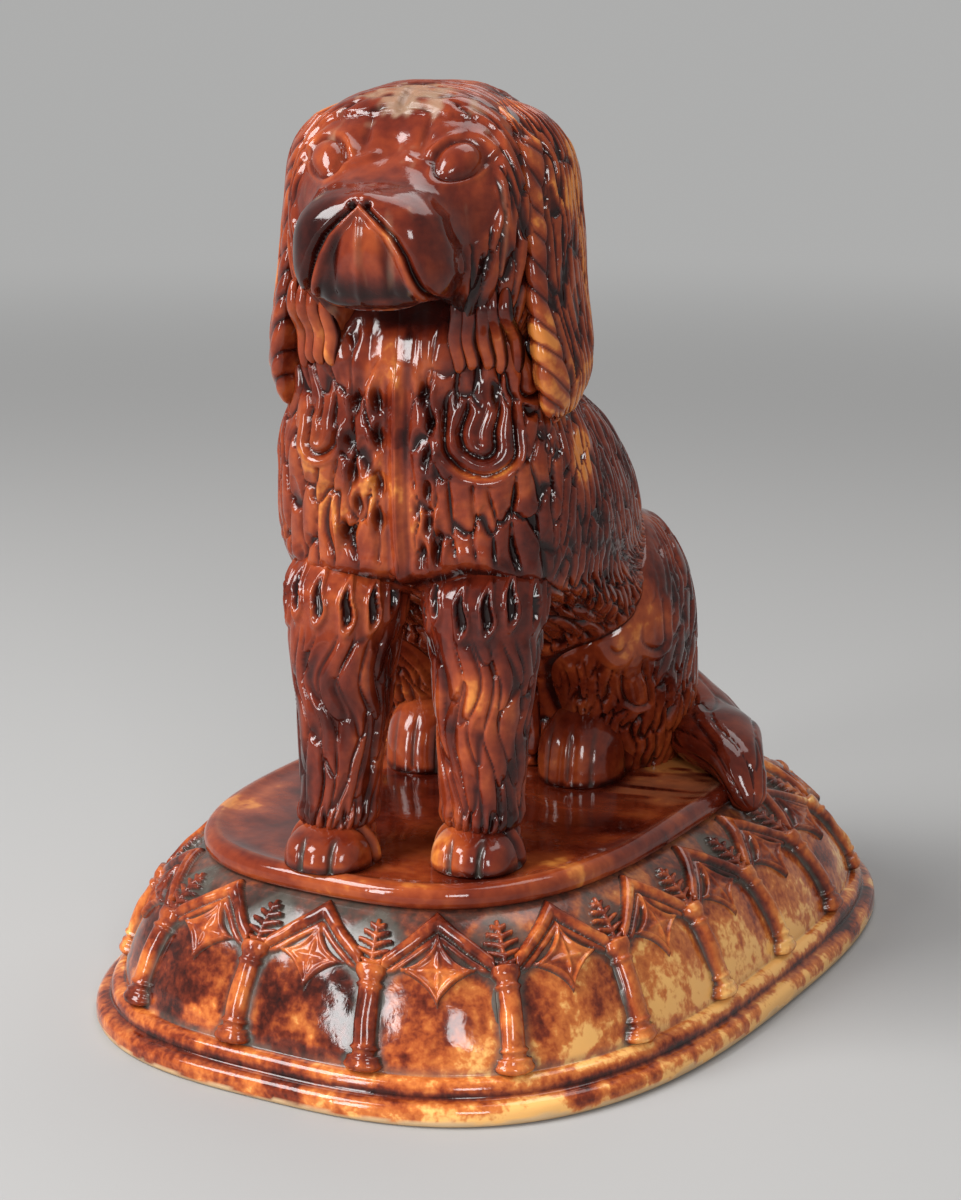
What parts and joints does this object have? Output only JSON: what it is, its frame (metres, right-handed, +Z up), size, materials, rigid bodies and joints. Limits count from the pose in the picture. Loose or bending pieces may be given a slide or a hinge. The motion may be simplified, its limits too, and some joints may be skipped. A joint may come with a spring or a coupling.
{
  "type": "pottery dog figure",
  "caption": "Glazed pottery spaniel seated on an oval arcaded plinth, an ornament that rests on its foot.",
  "frame": {"origin": "middle of the foot's underside", "axes": "+Z up, Y along the plinth's length, the dog looks towards -Y"},
  "size_m": [0.198, 0.28, 0.2711],
  "materials": {
    "amber_glaze": "mottled amber and brown gloss glaze",
    "dark_glaze": "dark pooled brown gloss glaze",
    "brown_glaze": "mottled brown gloss glaze",
    "relief_glaze": "brown gloss glaze, thin on the ridges"
  },
  "bodies": {
    "root": {"base_skirt": "amber_glaze", "platform": "dark_glaze", "tail": "dark_glaze", "body_left_half": "brown_glaze", "body_right_half": "brown_glaze", "head_left_half": "brown_glaze", "head_right_half": "brown_glaze", "ear_left": "brown_glaze", "ear_right": "brown_glaze", "foreleg_left": "brown_glaze", "foreleg_right": "brown_glaze", "forepaw_left": "brown_glaze", "forepaw_right": "brown_glaze", "haunch_left": "brown_glaze", "haunch_right": "brown_glaze", "hind_paw_left": "brown_glaze", "hind_paw_right": "brown_glaze", "colonnette_01": "relief_glaze", "arch_01": "relief_glaze", "colonnette_02": "relief_glaze", "arch_02": "relief_glaze", "colonnette_03": "relief_glaze", "arch_03": "relief_glaze", "colonnette_04": "relief_glaze", "arch_04": "relief_glaze", "colonnette_05": "relief_glaze", "arch_05": "relief_glaze", "colonnette_06": "relief_glaze", "arch_06": "relief_glaze", "colonnette_07": "relief_glaze", "arch_07": "relief_glaze", "colonnette_08": "relief_glaze", "arch_08": "relief_glaze", "colonnette_09": "relief_glaze", "arch_09": "relief_glaze", "colonnette_10": "relief_glaze", "arch_10": "relief_glaze", "colonnette_11": "relief_glaze", "arch_11": "relief_glaze", "colonnette_12": "relief_glaze", "arch_12": "relief_glaze", "colonnette_13": "relief_glaze", "arch_13": "relief_glaze", "colonnette_14": "relief_glaze", "arch_14": "relief_glaze", "colonnette_15": "relief_glaze", "arch_15": "relief_glaze", "colonnette_16": "relief_glaze", "arch_16": "relief_glaze", "colonnette_17": "relief_glaze", "arch_17": "relief_glaze", "colonnette_18": "relief_glaze", "arch_18": "relief_glaze"}
  },
  "joints": []
}
